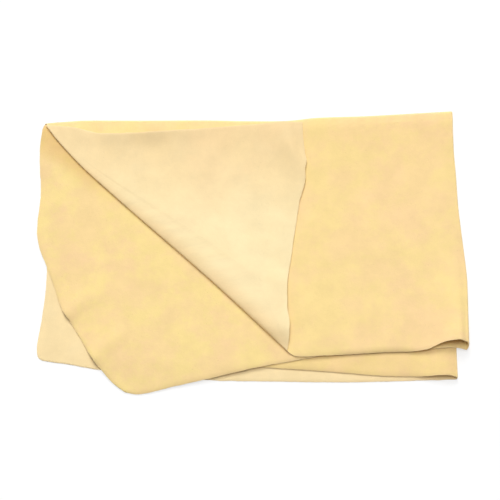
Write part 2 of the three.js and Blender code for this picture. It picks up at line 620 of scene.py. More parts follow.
@dataclass(frozen=True)
class Hems:
    """How raw hems lie: pressed down, curled up near the crease, or hanging over a shorter layer.

    Args:
        press, press_width: how far they are pressed down, and how wide a strip.
        curl, curl_from, curl_width: how far they curl up, from where, and over what length.
        hang, hang_width: how far they hang, and how wide a strip.
        hang_from, hang_to, hang_ease: where they hang, and over what length that begins and ends.
    """

    press: float = 0.42
    press_width: float = 4.0
    curl: float = 0.4
    curl_from: float = 330.0
    curl_width: float = 25.0
    hang: float = 0.9
    hang_width: float = 2.2
    hang_from: float = 255.0
    hang_to: float = 345.0
    hang_ease: float = 25.0

    def strip(self, distance: float) -> float:
        """How much a hem is pressed at a distance from it."""
        return smooth(1 - distance / self.press_width)

    def pressed(self, x: float, up: float, crease: float) -> float:
        """How far a hem is pressed down, less than 0 where it curls up.

        Args:
            x: place along the hem.
            up: distance from the hem.
            crease: where the hem goes into its crease.

        Returns:
            The drop.
        """
        curl = smooth((x - self.curl_from) / self.curl_width)
        drop = lerp(self.press, -self.curl, curl) * smooth((crease - x) / self.press_width)
        return drop * self.strip(up)

    def hung(self, x: float, up: float) -> float:
        """How far a hem hangs over a layer that ends short of it.

        Args:
            x: place along the hem.
            up: distance from the hem.

        Returns:
            The drop.
        """
        along = smooth((x - self.hang_from) / self.hang_ease)
        along *= smooth((self.hang_to - x) / self.hang_ease)
        return self.hang * along * smooth(1 - up / self.hang_width)


@dataclass(frozen=True)
class Tones:
    """Where the skin is rubbed lighter, and where it is deeper in colour, partly as painted light and
    painted shade.

    Args:
        worn_and_lit_width: how far below the top fold it is rubbed lighter, which is wear on the roll
            and painted light below it.
        outer: depth of colour of the outer front layer below the top fold.
        outer_reach, outer_ease: how far below the fold it goes, and where it is full.
        outer_from, outer_width: where along the fold it begins, and over what length.
        inner_narrow, inner_wide: width of the strip of painted shade beside the slanting crease.
        inner_turn, inner_turn_ease: where it goes from narrow to wide, and over what length.
        inner_low, inner_ease: its lower end, and over what length it is full.
        gape_shade_start, gape_width: where the painted shade in an open crease is full, and how wide it
            is.
        gape_shade_depth: how far behind the raw edge it is full.
    """

    worn_and_lit_width: float = 13.0
    outer: float = 0.6
    outer_reach: float = 100.0
    outer_ease: float = 12.0
    outer_from: float = 200.0
    outer_width: float = 40.0
    inner_narrow: float = 28.0
    inner_wide: float = 60.0
    inner_turn: float = -45.0
    inner_turn_ease: float = 30.0
    inner_low: float = -95.0
    inner_ease: float = 60.0
    gape_shade_start: float = 9.0
    gape_width: float = 46.0
    gape_shade_depth: float = 4.5

    def worn_and_lit(self, below: float) -> float:
        """How much the leather is rubbed lighter: wholly on the top fold's roll, as wear, and less
        below it, as painted light.
        """
        return smooth(1 - below / self.worn_and_lit_width)

    def outer_front(self, x: float, below: float) -> float:
        """Depth of colour of the outer front layer, at a distance below the top fold."""
        down = smooth(1 - below / self.outer_reach) * smooth(below / self.outer_ease)
        return self.outer * down * smooth((x - self.outer_from) / self.outer_width)

    def inner_front(self, aside: float, y: float) -> float:
        """Painted shade of the inner front layer, beside the slanting crease.

        Args:
            aside: distance from the slanting crease.
            y: how far down the layer, in plan.

        Returns:
            How deep the painted shade is.
        """
        wide = smooth((y - self.inner_turn) / self.inner_turn_ease)
        width = lerp(self.inner_narrow, self.inner_wide, wide)
        return smooth(1 - aside / width) * smooth((y - self.inner_low) / self.inner_ease)

    def gape(self, aside: float, up: float) -> float:
        """Painted shade inside the open end of a crease.

        Args:
            aside: distance from the crease.
            up: distance from the raw edge.

        Returns:
            How deep the painted shade is.
        """
        across = smooth(aside / self.gape_shade_start) * smooth(2 * (1 - aside / self.gape_width))
        return across * smooth(up / self.gape_shade_depth)


@dataclass(frozen=True)
class FoldedSkin:
    """How the skin lies on the table: the lines of its folds and the heights of its layers.

    Args:
        flank: how far below its roll the leather bends with the top fold.
        top_knots: the line along which the roll of the top fold begins.
        inner_left: where the inner front layer begins, left of the top fold's end.
        front, back: the right-hand creases of the two pairs.
        turn: the slanting crease.
        hems: how the raw hems lie.
        tones: where the skin is lighter or deeper in colour, partly as painted light and painted shade.
        sink, sink_start, sink_width: how far the front layers sink past the back pair's crease.
        pinch, pinch_reach: how far the outer layer is pinched at the top fold's left end.
        press, press_width: how far it is pressed beside the slanting crease.
        swell_fade, swell_clear: how far from the top fold and the slanting crease swells are full.
        rounds: how often a place on two lines at once is worked out again.
        front_swells, inner_swells: soft rises of the outer and inner front layer.
    """

    flank: float = 6.0
    top_knots: Knots = (
        (-2.0, -0.9), (16.0, 0.0), (36.0, 1.5), (90.0, 1.5), (150.0, 1.7), (195.0, 0.9),
        (226.0, 1.3), (252.0, 4.3), (300.0, 6.2), (345.0, 9.0), (380.0, 11.2),
    )
    inner_left: float = -2.0
    front: RightCrease = RightCrease(
        knots=(
            (-6.0, TOP_LENGTH), (4.0, 379.0), (22.0, 378.5), (52.0, 379.3), (82.0, 379.7),
            (104.0, 381.0), (130.0, 382.9), (150.0, 384.0), (169.0, 383.6), (188.0, 382.9),
            (218.0, 382.0),
        ),
        hem=-212.3,
        step=5.4,
        buckle=Buckle(height=6.8, near=6.0, reach=38.0, length=80.0, gape=0.72),
    )
    back: RightCrease = RightCrease(
        knots=((0.0, TOP_LENGTH), (242.6, TOP_LENGTH)),
        hem=-242.6,
        step=1.2,
        buckle=Buckle(height=3.8, near=6.0, reach=38.0, length=60.0, gape=0.65),
        tuck=8.3,
    )
    turn: SlantingCrease = field(default_factory=SlantingCrease)
    hems: Hems = Hems()
    tones: Tones = Tones()
    sink: float = 1.2
    sink_start: float = 0.8
    sink_width: float = 7.0
    pinch: float = 0.5
    pinch_reach: float = 14.0
    press: float = 0.25
    press_width: float = 12.0
    swell_fade: float = 18.0
    swell_clear: float = 45.0
    rounds: int = 5
    front_swells: tuple[Swell, ...] = (
        Swell(330.0, -70.0, 80.0, 70.0, 26.0, 0.5),
        Swell(290.0, -120.0, 95.0, 60.0, 22.0, 0.4),
    )
    inner_swells: tuple[Swell, ...] = (
        Swell(34.0, -179.0, 32.0, 20.0, 8.0, 1.6),
        Swell(64.0, -215.0, 41.0, 24.0, 8.0, 2.4),
        Swell(30.0, -187.0, 52.0, 7.0, 5.0, 1.3),
        Swell(56.0, -227.0, 52.0, 7.0, 6.0, 1.5),
    )

    @property
    def middle(self) -> float:
        """Height about which the layers turn over the top."""
        return (LEATHER.level(Layer.OUTER_BACK) + LEATHER.level(Layer.OUTER_FRONT)) / 2

    @property
    def top_start(self) -> float:
        """Where the layers leave the flat for the right-hand crease, at the top fold."""
        return TOP_LENGTH - LEATHER.thickness / 2 - self.front.width(LEATHER.pitch / 2)

    def top_line(self, x: float) -> float:
        """Where the roll of the top fold begins, at x."""
        return through(self.top_knots, x)

    def panel_top(self, x: float) -> float:
        """Upper end of the flat layers, below the leather that bends with the top fold."""
        return self.top_line(x) - self.flank

    def turn_top(self, before: float) -> float:
        """Where the outer front layer begins to turn back, near the top fold.

        Args:
            before: share of the flank below the top fold's roll.

        Returns:
            The place along x.
        """
        x = 0.0
        for _ in range(self.rounds):
            x = self.turn.start(self.top_line(x) - self.flank * before)
        return x

    def worn_and_lit(self, x: float, y: float) -> float:
        """How much the leather is lighter at a point: wear on the top fold's roll, and painted light
        fading below it.
        """
        return self.tones.worn_and_lit(self.top_line(x) - y)

    def outer_tan(self, x: float, y: float) -> float:
        """Depth of colour of the outer front layer at a point."""
        return self.tones.outer_front(x, self.top_line(x) - y)

    def inner_painted_shade(self, x: float, y: float) -> float:
        """Painted shade of the inner front layer at a point, beside the slanting crease."""
        return self.tones.inner_front(self.turn.line(min(y, 0.0)) - x, y)

    def _fade(self, x: float, y: float) -> float:
        """Share of the small rises left at a point: none where the top fold begins."""
        return smooth((self.panel_top(x) - y) / self.swell_fade)

    def _drape(self, x: float, y: float) -> float:
        """How far the front layers rise over the back pair's buckle and sink past its crease.

        Args:
            x, y: the point in plan.

        Returns:
            The rise.
        """
        past = x - self.back.line(y) - self.sink_start
        rise = self.back.buckle.over(self.back.start(y) - x, y - self.back.hem)
        return rise - self.sink * smooth(past / self.sink_width)

    def outer_back(self, x: float, y: float) -> float:
        """Height of the layer on the table."""
        return LEATHER.level(Layer.OUTER_BACK)

    def inner_back(self, x: float, y: float) -> float:
        """Height of the second layer."""
        rise = self.back.buckle.at(self.back.start(y) - x, y - self.back.hem)
        return LEATHER.level(Layer.INNER_BACK) + rise

    def inner_front(self, x: float, y: float) -> float:
        """Height of the third layer, without its free corner's fall."""
        rise = sum(swell.at(x, y) for swell in self.inner_swells)
        return LEATHER.level(Layer.INNER_FRONT) + self._drape(x, y) + rise * self._fade(x, y)

    def outer_front(self, x: float, y: float) -> float:
        """Height of the fourth layer.

        Args:
            x, y: the point in plan.

        Returns:
            The height of its middle.
        """
        away = x - self.turn.start(y)
        fade = self._fade(x, y)
        buckle = self.front.buckle.at(self.front.start(y) - x, y - self.front.hem)
        rise = sum(swell.at(x, y) for swell in self.front_swells)
        rise *= fade * smooth(away / self.swell_clear)
        pinch = self.pinch * smooth(1 - math.hypot(x, y) / self.pinch_reach)
        press = self.press * smooth(1 - away / self.press_width)
        rise -= max(pinch, press * fade)
        return LEATHER.level(Layer.OUTER_FRONT) + self._drape(x, y) + buckle + rise

    def over_top(self, x: float, rise: float, share: float) -> tuple[float, float]:
        """Point of the layers as they pass over the top fold.

        Args:
            x: place along the fold.
            rise: height of the layer over the middle of its pair.
            share: 0 on the front, 1 on the back.

        Returns:
            The point's y and z.
        """
        before, turn, after = crossing(share)
        radius = LEATHER.pitch + rise
        if rise > 0:
            radius -= self.pinch * smooth(1 - x / self.pinch_reach)
        y = self.top_line(x) - self.flank * (before + after) + radius * math.sin(turn)
        return y, self.middle + radius * math.cos(turn)


@dataclass(frozen=True)
class SheetMaker:
    """Makes a sheet of leather from a grid whose points are moved into their folded place.

    Args:
        marks: values of a point that the finishes read.
        rim_share: how much of its thickness the leather keeps on a raw edge.
    """

    marks: tuple[str, ...] = ("rim", "fold", "tan")
    rim_share: float = 0.4

    def make(
        self, name: str, across: int, down: int, spot: Callable[[int, int], Spot]
    ) -> bpy.types.Object:
        """Make one sheet.

        Args:
            name: the object's name.
            across: number of cells across.
            down: number of cells down.
            spot: gives the point of a grid corner.

        Returns:
            The sheet, as a middle surface that a modifier gives its thickness.
        """
        bm = bmesh.new()
        bmesh.ops.create_grid(bm, x_segments=across, y_segments=down, size=1.0)
        layers = {mark: bm.verts.layers.float.new(mark) for mark in self.marks}
        skin = bm.loops.layers.uv.new("skin")
        flat: dict[bmesh.types.BMVert, tuple[float, float]] = {}
        for vert in bm.verts:
            i = round((vert.co.x + 1) / 2 * across)
            j = round((1 - vert.co.y) / 2 * down)
            at = spot(i, j)
            vert.co = ((at.x + ORIGIN_X) * MM, (at.y + ORIGIN_Y) * MM, at.z * MM)
            for mark, layer in layers.items():
                vert[layer] = getattr(at, mark)
            flat[vert] = (at.u * MM, at.v * MM)
        for face in bm.faces:
            face.smooth = True
            for loop in face.loops:
                loop[skin].uv = flat[loop.vert]
        for edge in bm.edges:
            edge.smooth = not edge.is_boundary
        mesh = bpy.data.meshes.new(name)
        bm.to_mesh(mesh)
        bm.free()
        sheet = put(name, mesh)
        self._thicken(sheet)
        return sheet

    def _thicken(self, sheet: bpy.types.Object) -> None:
        """Give a sheet its thickness, thinner along raw edges where the cut is rubbed round.

        Args:
            sheet: the sheet, as a middle surface.
        """
        group = sheet.vertex_groups.new(name="substance")
        for index, value in enumerate(sheet.data.attributes["rim"].data):
            group.add([index], lerp(1.0, self.rim_share, value.value), "REPLACE")
        solid = sheet.modifiers.new("thickness", "SOLIDIFY")
        solid.thickness = LEATHER.thickness * MM
        solid.offset = 0.0
        solid.vertex_group = group.name
        solid.material_offset = Face.INSIDE.value
        solid.material_offset_rim = Face.CUT.value


class NodePad:
    """Places and links the nodes of one node tree."""

    PER_ROW = 8
    STEP_ACROSS = 220.0
    STEP_DOWN = 320.0
    NOISE_MIDDLE = 0.5

    # Numbers of the colour mix's sockets: its share, its two colours, and what it gives.
    MIX_INPUTS = (0, 6, 7)
    MIX_OUTPUT = 2

    def __init__(self, tree: bpy.types.NodeTree) -> None:
        """Keep the tree and where the next node goes."""
        self.tree = tree
        self.count = 0

    @classmethod
    def blank(cls, owner: bpy.types.Material | bpy.types.World) -> NodePad:
        """Clear the nodes of a material or a world.

        Args:
            owner: the material or world.

        Returns:
            A pad for its new nodes.
        """
        owner.use_nodes = True
        owner.node_tree.nodes.clear()
        return cls(owner.node_tree)

    def add(
        self, kind: str, inputs: dict[str | int, object] | None = None, **settings: object
    ) -> bpy.types.Node:
        """Add a node.

        Args:
            kind: the node's type.
            inputs: values or sockets for its inputs, by name or number.
            settings: its properties.

        Returns:
            The node.
        """
        node = self.tree.nodes.new(kind)
        row, column = divmod(self.count, self.PER_ROW)
        node.location = (column * self.STEP_ACROSS, -row * self.STEP_DOWN)
        self.count += 1
        for key, value in settings.items():
            setattr(node, key, value)
        for key, value in (inputs or {}).items():
            if isinstance(value, bpy.types.NodeSocket):
                self.tree.links.new(value, node.inputs[key])
            else:
                node.inputs[key].default_value = value
        return node

    def value(self, name: str) -> bpy.types.NodeSocket:
        """Read a value that the sheet's points carry."""
        return self.add("ShaderNodeAttribute", attribute_name=name).outputs["Fac"]

    def math(self, operation: str, a: object, b: object) -> bpy.types.NodeSocket:
        """Work out one number from two values or sockets."""
        return self.add("ShaderNodeMath", {0: a, 1: b}, operation=operation).outputs[0]

    def plus(self, base: object, value: object, weight: float) -> bpy.types.NodeSocket:
        """Add a weighed value to a base."""
        return self.math("ADD", base, self.math("MULTIPLY", value, weight))

    def swing(self, value: object, amount: object) -> bpy.types.NodeSocket:
        """Let a noise swing about 0 by an amount."""
        return self.math("MULTIPLY", self.math("SUBTRACT", value, self.NOISE_MIDDLE), amount)

    def moved(self, operation: str, place: object, by: tuple[float, ...]) -> bpy.types.NodeSocket:
        """Move or stretch the place that a noise is read at."""
        return self.add("ShaderNodeVectorMath", {0: place, 1: by}, operation=operation).outputs[0]

    def span(
        self, value: object, low: float, high: float, to_low: float = 0.0, to_high: float = 1.0
    ) -> bpy.types.NodeSocket:
        """Ease a value from one range into another.

        Args:
            value: the value's socket.
            low, high: the range it comes from.
            to_low, to_high: the range it goes to.

        Returns:
            The result's socket.
        """
        ends = {"From Min": low, "From Max": high, "To Min": to_low, "To Max": to_high}
        inputs = {"Value": value, **ends}
        node = self.add("ShaderNodeMapRange", inputs, interpolation_type="SMOOTHSTEP")
        return node.outputs["Result"]

    def noise(
        self, place: object, scale: object, detail: float, roughness: float = 0.5
    ) -> bpy.types.NodeSocket:
        """Add a noise and give its value.

        Args:
            place: where it is read.
            scale: cells to the metre.
            detail: how many finer noises it adds.
            roughness: how strong those are.

        Returns:
            The value's socket.
        """
        inputs = {"Vector": place, "Scale": scale, "Detail": detail, "Roughness": roughness}
        return self.add("ShaderNodeTexNoise", inputs).outputs["Fac"]

    def blend(self, share: object, a: object, b: object, kind: str = "MIX") -> bpy.types.NodeSocket:
        """Mix two colours.

        Args:
            share: how much of the second.
            a, b: colours or sockets.
            kind: how they mix.

        Returns:
            The mixed colour's socket.
        """
        inputs = dict(zip(self.MIX_INPUTS, (share, a, b)))
        node = self.add("ShaderNodeMix", inputs, data_type="RGBA", blend_type=kind)
        return node.outputs[self.MIX_OUTPUT]


@dataclass(frozen=True)
class HideSurface:
    """The look that every side of the skin shares: mottling, nap, pores and fine wrinkles.

    Noises are a scale in cells to the metre, a detail and a roughness. Patches and blush take
    their scale from the finish, and blush is read elsewhere, at a share of that scale. Spans
    are where a noise begins and ends to show, and what it then gives. Tones and heights are
    how much of each shows in the colour and in the relief.
    """

    name: str = "hide_surface"
    patches: tuple[float, float] = (4.0, 0.68)
    patch_span: tuple[float, ...] = (0.39, 0.61)
    blush: tuple[float, float] = (5.0, 0.68)
    blush_span: tuple[float, ...] = (0.47, 0.66)
    blush_scale: float = 0.55
    blush_place: tuple[float, ...] = (0.37, 0.11, 0.0)
    streak: tuple[float, ...] = (1.0, 3.0)
    streak_stretch: tuple[float, ...] = (62.0, 9.0, 1.0)
    streak_span: tuple[float, ...] = (0.3, 0.7, 0.988, 1.01)
    nap: tuple[float, ...] = (900.0, 4.0, 0.65)
    nap_height: float = 0.45
    brushed: tuple[float, ...] = (210.0, 3.0, 0.6)
    brushed_tone: float = 0.05
    brushed_height: float = 0.6
    cloud: tuple[float, ...] = (48.0, 3.0, 0.6)
    cloud_tone: float = 0.2
    pore_scale: float = 330.0
    pore_span: tuple[float, ...] = (0.06, 0.2, 1.0, 0.0)
    pore_places: tuple[float, ...] = (42.0, 1.0)
    pore_places_span: tuple[float, ...] = (0.5, 0.62)
    pore_tone: float = -0.07
    pore_height: float = -0.5
    rub_span: tuple[float, ...] = (0.35, 0.65, 0.7, 1.0)
    rub_and_light_tone: float = 0.07
    rub_smooth: float = -0.3
    wrinkle: tuple[float, ...] = (120.0, 3.0, 0.55)
    wrinkle_height: float = 0.8
    rough_span: tuple[float, ...] = (0.2, 0.8, 0.8, 0.98)

    def build(self) -> bpy.types.NodeTree:
        """Make the node group.

        Returns:
            The group's tree.
        """
        tree = bpy.data.node_groups.new(self.name, "ShaderNodeTree")
        sockets = {
            ("INPUT", "NodeSocketVector"): ("Skin",),
            ("INPUT", "NodeSocketColor"): ("Ground", "Patch", "Blush"),
            ("INPUT", "NodeSocketFloat"): ("Patch Size", "Patch Amount", "Nap Amount", "Rub And Light"),
            ("OUTPUT", "NodeSocketColor"): ("Colour",),
            ("OUTPUT", "NodeSocketFloat"): ("Roughness", "Height"),
        }
        for (way, kind), names in sockets.items():
            for name in names:
                tree.interface.new_socket(name, in_out=way, socket_type=kind)
        self._fill(NodePad(tree))
        return tree

    def _fill(self, pad: NodePad) -> None:
        """Lay out the group's nodes: the mottled colour, its tone and the height of the relief.

        Args:
            pad: places the nodes.
        """
        given = pad.add("NodeGroupInput").outputs
        skin = given["Skin"]
        patches = pad.span(pad.noise(skin, given["Patch Size"], *self.patches), *self.patch_span)
        patches = pad.math("MULTIPLY", patches, given["Patch Amount"])
        wide = pad.math("MULTIPLY", given["Patch Size"], self.blush_scale)
        elsewhere = pad.moved("ADD", skin, self.blush_place)
        blush = pad.span(pad.noise(elsewhere, wide, *self.blush), *self.blush_span)
        blush = pad.math("MULTIPLY", blush, given["Patch Amount"])
        colour = pad.blend(patches, given["Ground"], given["Patch"])
        colour = pad.blend(blush, colour, given["Blush"])

        drawn = pad.moved("MULTIPLY", skin, self.streak_stretch)
        streak = pad.span(pad.noise(drawn, *self.streak), *self.streak_span)
        nap = pad.noise(skin, *self.nap)
        brushed = pad.noise(skin, *self.brushed)
        cloud = pad.noise(skin, *self.cloud)
        soft = pad.math("ADD", pad.swing(brushed, self.brushed_tone), pad.swing(cloud, self.cloud_tone))
        tone = pad.math("ADD", pad.swing(nap, given["Nap Amount"]), soft)
        tone = pad.math("ADD", tone, streak)
        cells = {"Vector": skin, "Scale": self.pore_scale, "Randomness": 1.0}
        pore = pad.add("ShaderNodeTexVoronoi", cells, feature="F1").outputs["Distance"]
        places = pad.span(pad.noise(skin, *self.pore_places), *self.pore_places_span)
        pores = pad.math("MULTIPLY", pad.span(pore, *self.pore_span), places)
        # Rubbed nap is lighter and smoother: wear on the creases and on the top fold's roll, and
        # painted light where the rub fades below the top fold.
        rubbed = pad.math("MULTIPLY", given["Rub And Light"], pad.span(brushed, *self.rub_span))
        tone = pad.plus(pad.plus(tone, pores, self.pore_tone), rubbed, self.rub_and_light_tone)
        grey = pad.add("ShaderNodeCombineColor", {"Red": tone, "Green": tone, "Blue": tone}).outputs[0]
        colour = pad.blend(1.0, colour, grey, "MULTIPLY")

        height = pad.math("MULTIPLY", nap, self.nap_height)
        height = pad.plus(height, pad.noise(skin, *self.wrinkle), self.wrinkle_height)
        height = pad.plus(height, brushed, self.brushed_height)
        height = pad.plus(height, pores, self.pore_height)
        rough = pad.span(pad.plus(nap, rubbed, self.rub_smooth), *self.rough_span)
        pad.add("NodeGroupOutput", {"Colour": colour, "Roughness": rough, "Height": height})


@dataclass(frozen=True)
class HideFinish:
    """One side of the skin, or its cut edge.

    Args:
        name: the material's name.
        ground, patch, blush: its colour and the two colours of its mottling.
        patch_size, patch_amount: mottles to the metre, and how much they show.
        nap_amount: how much the nap shows.
        bump, bump_height: strength of the surface's relief, and its height in metres.
        cut, cut_share: colour of a raw edge, and how much of it shows.
        tan: what the colour is multiplied by where the skin is deepest in colour or in painted shade.
        shine: how much it shines.
        sheen, sheen_roughness, sheen_tint: the fine hair's sheen.
    """

    name: str
    ground: Colour
    patch: Colour
    blush: Colour
    patch_size: float = 22.0
    patch_amount: float = 0.8
    nap_amount: float = 0.10
    bump: float = 0.3
    bump_height: float = 0.0006
    cut: Colour = (0.92, 0.72, 0.41)
    cut_share: float = 0.5
    tan: Colour = (0.945, 0.925, 0.910)
    shine: float = 0.2
    sheen: float = 0.12
    sheen_roughness: float = 0.6
    sheen_tint: Colour = (1.0, 0.9, 0.72)

    def material(self, surface: bpy.types.NodeTree) -> bpy.types.Material:
        """Make the finish.

        Args:
            surface: the look that all sides share.

        Returns:
            The material.
        """
        made = bpy.data.materials.new(self.name)
        pad = NodePad.blank(made)
        inputs = {
            "Skin": pad.add("ShaderNodeUVMap", uv_map="skin").outputs["UV"],
            "Ground": (*self.ground, 1.0),
            "Patch": (*self.patch, 1.0),
            "Blush": (*self.blush, 1.0),
            "Patch Size": self.patch_size,
            "Patch Amount": self.patch_amount,
            "Nap Amount": self.nap_amount,
            "Rub And Light": pad.value("fold"),
        }
        hide = pad.add("ShaderNodeGroup", inputs, node_tree=surface).outputs
        edge = pad.math("MULTIPLY", pad.value("rim"), self.cut_share)
        colour = pad.blend(edge, hide["Colour"], (*self.cut, 1.0))
        # The tan mark multiplies in the tan colour, for the skin's own deeper tone and for painted
        # shade.
        colour = pad.blend(pad.value("tan"), colour, (*self.tan, 1.0), "MULTIPLY")
        relief = {"Height": hide["Height"], "Strength": self.bump, "Distance": self.bump_height}
        leather = {
            "Base Color": colour,
            "Roughness": hide["Roughness"],
            "Normal": pad.add("ShaderNodeBump", relief).outputs["Normal"],
            "Specular IOR Level": self.shine,
            "Sheen Weight": self.sheen,
            "Sheen Roughness": self.sheen_roughness,
            "Sheen Tint": (*self.sheen_tint, 1.0),
        }
        shaded = pad.add("ShaderNodeBsdfPrincipled", leather).outputs["BSDF"]
        pad.add("ShaderNodeOutputMaterial", {"Surface": shaded})
        return made


class Side(Enum):
    """The finishes of the skin."""

    SUEDE = HideFinish(
        "suede_side",
        ground=(0.888, 0.648, 0.312),
        patch=(0.892, 0.685, 0.290),
        blush=(0.888, 0.624, 0.327),
    )
    INNER = HideFinish(
        "inner_side",
        ground=(0.880, 0.648, 0.309),
        patch=(0.884, 0.683, 0.288),
        blush=(0.880, 0.624, 0.323),
        patch_size=26.0,
        patch_amount=1.0,
        # This tan colour mostly darkens painted shade beside the slanting crease and inside open
        # creases.
        tan=(0.87, 0.80, 0.70),
    )
    PALE = HideFinish(
        "pale_side",
        ground=(0.915, 0.745, 0.425),
        patch=(0.920, 0.765, 0.455),
        blush=(0.920, 0.720, 0.415),
        patch_size=14.0,
        patch_amount=0.6,
        bump=0.2,
        tan=(0.940, 0.875, 0.815),
    )
    CUT = HideFinish(
        "cut_edge",
        ground=(0.90, 0.690, 0.380),
        patch=(0.93, 0.735, 0.430),
        blush=(0.87, 0.650, 0.345),
        patch_size=160.0,
        nap_amount=0.3,
        bump=0.5,
    )


class Hide:
    """The finishes as materials, with which the sheets are dressed."""

    def __init__(self) -> None:
        """Make all finishes over one shared surface."""
        surface = HideSurface().build()
        self.materials = {side: side.value.material(surface) for side in Side}

    def dress(self, sheet: bpy.types.Object, outside: Side, inside: Side) -> None:
        """Give a sheet the finishes of its two sides and of its cut edge.

        Args:
            sheet: the sheet.
            outside, inside: finishes of its sides.
        """
        sides = {Face.OUTSIDE: outside, Face.INSIDE: inside, Face.CUT: Side.CUT}
        for face in Face:
            sheet.data.materials.append(self.materials[sides[face]])


@dataclass
class Pair:
    """Two layers joined by a right-hand crease: an upper one, the crease, a lower one.

    Args:
        skin: how the skin lies.
        name: the sheet's name.
        columns, rows: cells across each layer and down it.
        roll_steps: cells round the crease.
        raw: width of the cells along raw edges.
        breadth, depth: about how wide and how deep the layers are.
        raw_left: whether the upper layer's left edge is a raw one.
        skin_shift: how far along the flat skin the pair lies from its folded place.
    """

    skin: FoldedSkin
    name: str = "pair"
    columns: int = 140
    rows: int = 96
    roll_steps: int = 16
    raw: float = 0.9
    breadth: float = 370.0
    depth: float = 240.0
    raw_left: bool = True
    skin_shift: float = 0.0
    end: float = field(init=False)

    def __post_init__(self) -> None:
        """Find where the upper layer's hem goes into the crease."""
        self.end = self.crease_spot(0.0, 1.0).x

    @property
    def crease(self) -> RightCrease:
        """The crease that joins the layers."""
        raise NotImplementedError

    def lower(self, x: float, y: float) -> float:
        """Height of the lower layer beside the crease."""
        raise NotImplementedError

    def layers(self) -> tuple[Flat, Flat]:
        """Lay out the upper layer and the lower one."""
        raise NotImplementedError

    def upper_at(self, at: Place) -> tuple[float, float]:
        """Height and depth of colour of the upper layer."""
        raise NotImplementedError

    def lower_at(self, at: Place) -> tuple[float, float]:
        """Height and depth of colour of the lower layer."""
        raise NotImplementedError

    def crease_spot(self, share: float, down: float) -> Spot:
        """Point of the roll between the two layers.

        Args:
            share: 0 at the upper layer, 1 at the lower one.
            down: 0 at the top, 1 at the raw edge.

        Returns:
            The point.
        """
        skin, crease = self.skin, self.crease
        bulge = math.sin(share * math.pi)
        top = skin.panel_top(skin.top_start + crease.width(LEATHER.pitch / 2) * bulge)
        y = lerp(top, crease.hem_at(smooth(share)), down)
        half = crease.half(y)
        start = crease.start(y)
        x = start + crease.width(half) * bulge
        z = self.lower(start, y) + half * (1 + math.cos(share * math.pi))
        u = TOP_LENGTH + half * math.pi * (share - 0.5)
        rim = 1.0 if down == 1.0 else 0.0
        return Spot(x, y, z, u, y + self.skin_shift, rim, max(bulge, skin.worn_and_lit(x, y)))

    def crease_edge(self, share: float) -> Edge:
        """Edge of a layer where it goes into the crease.

        Args:
            share: 0 for the upper layer, 1 for the lower one.

        Returns:
            The edge, from the top down.
        """

        def edge(down: float) -> Vector:
            """Point of the edge at a share of its way down."""
            spot = self.crease_spot(share, down)
            return Vector((spot.x, spot.y))

        return edge

    def top_edge(self, left: float) -> Edge:
        """Upper edge of a layer, where the top fold's leather begins.

        Args:
            left: where it begins.

        Returns:
            The edge, from left to right.
        """

        def edge(share: float) -> Vector:
            """Point of the edge at a share of its way along."""
            x = lerp(left, self.skin.top_start, share)
            return Vector((x, self.skin.panel_top(x)))

        return edge

    def build(self, maker: SheetMaker) -> bpy.types.Object:
        """Make the pair as one sheet.

        Args:
            maker: makes the sheet.

        Returns:
            The sheet.
        """
        upper_flat, lower_flat = self.layers()
        across = 2 * self.columns + self.roll_steps

        def spot(i: int, j: int) -> Spot:
            """Point of a grid corner, from the upper layer's left edge round to the lower one's.

            Args:
                i, j: steps across and down.

            Returns:
                The point.
            """
            down = crowd(j, self.rows, 0.0, self.raw / self.depth)
            if self.columns < i < self.columns + self.roll_steps:
                return self.crease_spot((i - self.columns) / self.roll_steps, down)
            upper = i <= self.columns
            step = i if upper else across - i
            raw_left = self.raw_left or not upper
            first = self.raw / self.breadth if raw_left else 0.0
            along = crowd(step, self.columns, first, 0.0)
            x, y = (upper_flat if upper else lower_flat).at(along, down)
            at = Place(x, y, along, down, (1 - down) * self.depth)
            z, tan = self.upper_at(at) if upper else self.lower_at(at)
            u = x if upper else 2 * TOP_LENGTH - x
            rim = 1.0 if j == self.rows or (raw_left and step == 0) else 0.0
            return Spot(x, y, z, u, y + self.skin_shift, rim, self.skin.worn_and_lit(x, y), tan)

        return maker.make(self.name, across, self.rows, spot)


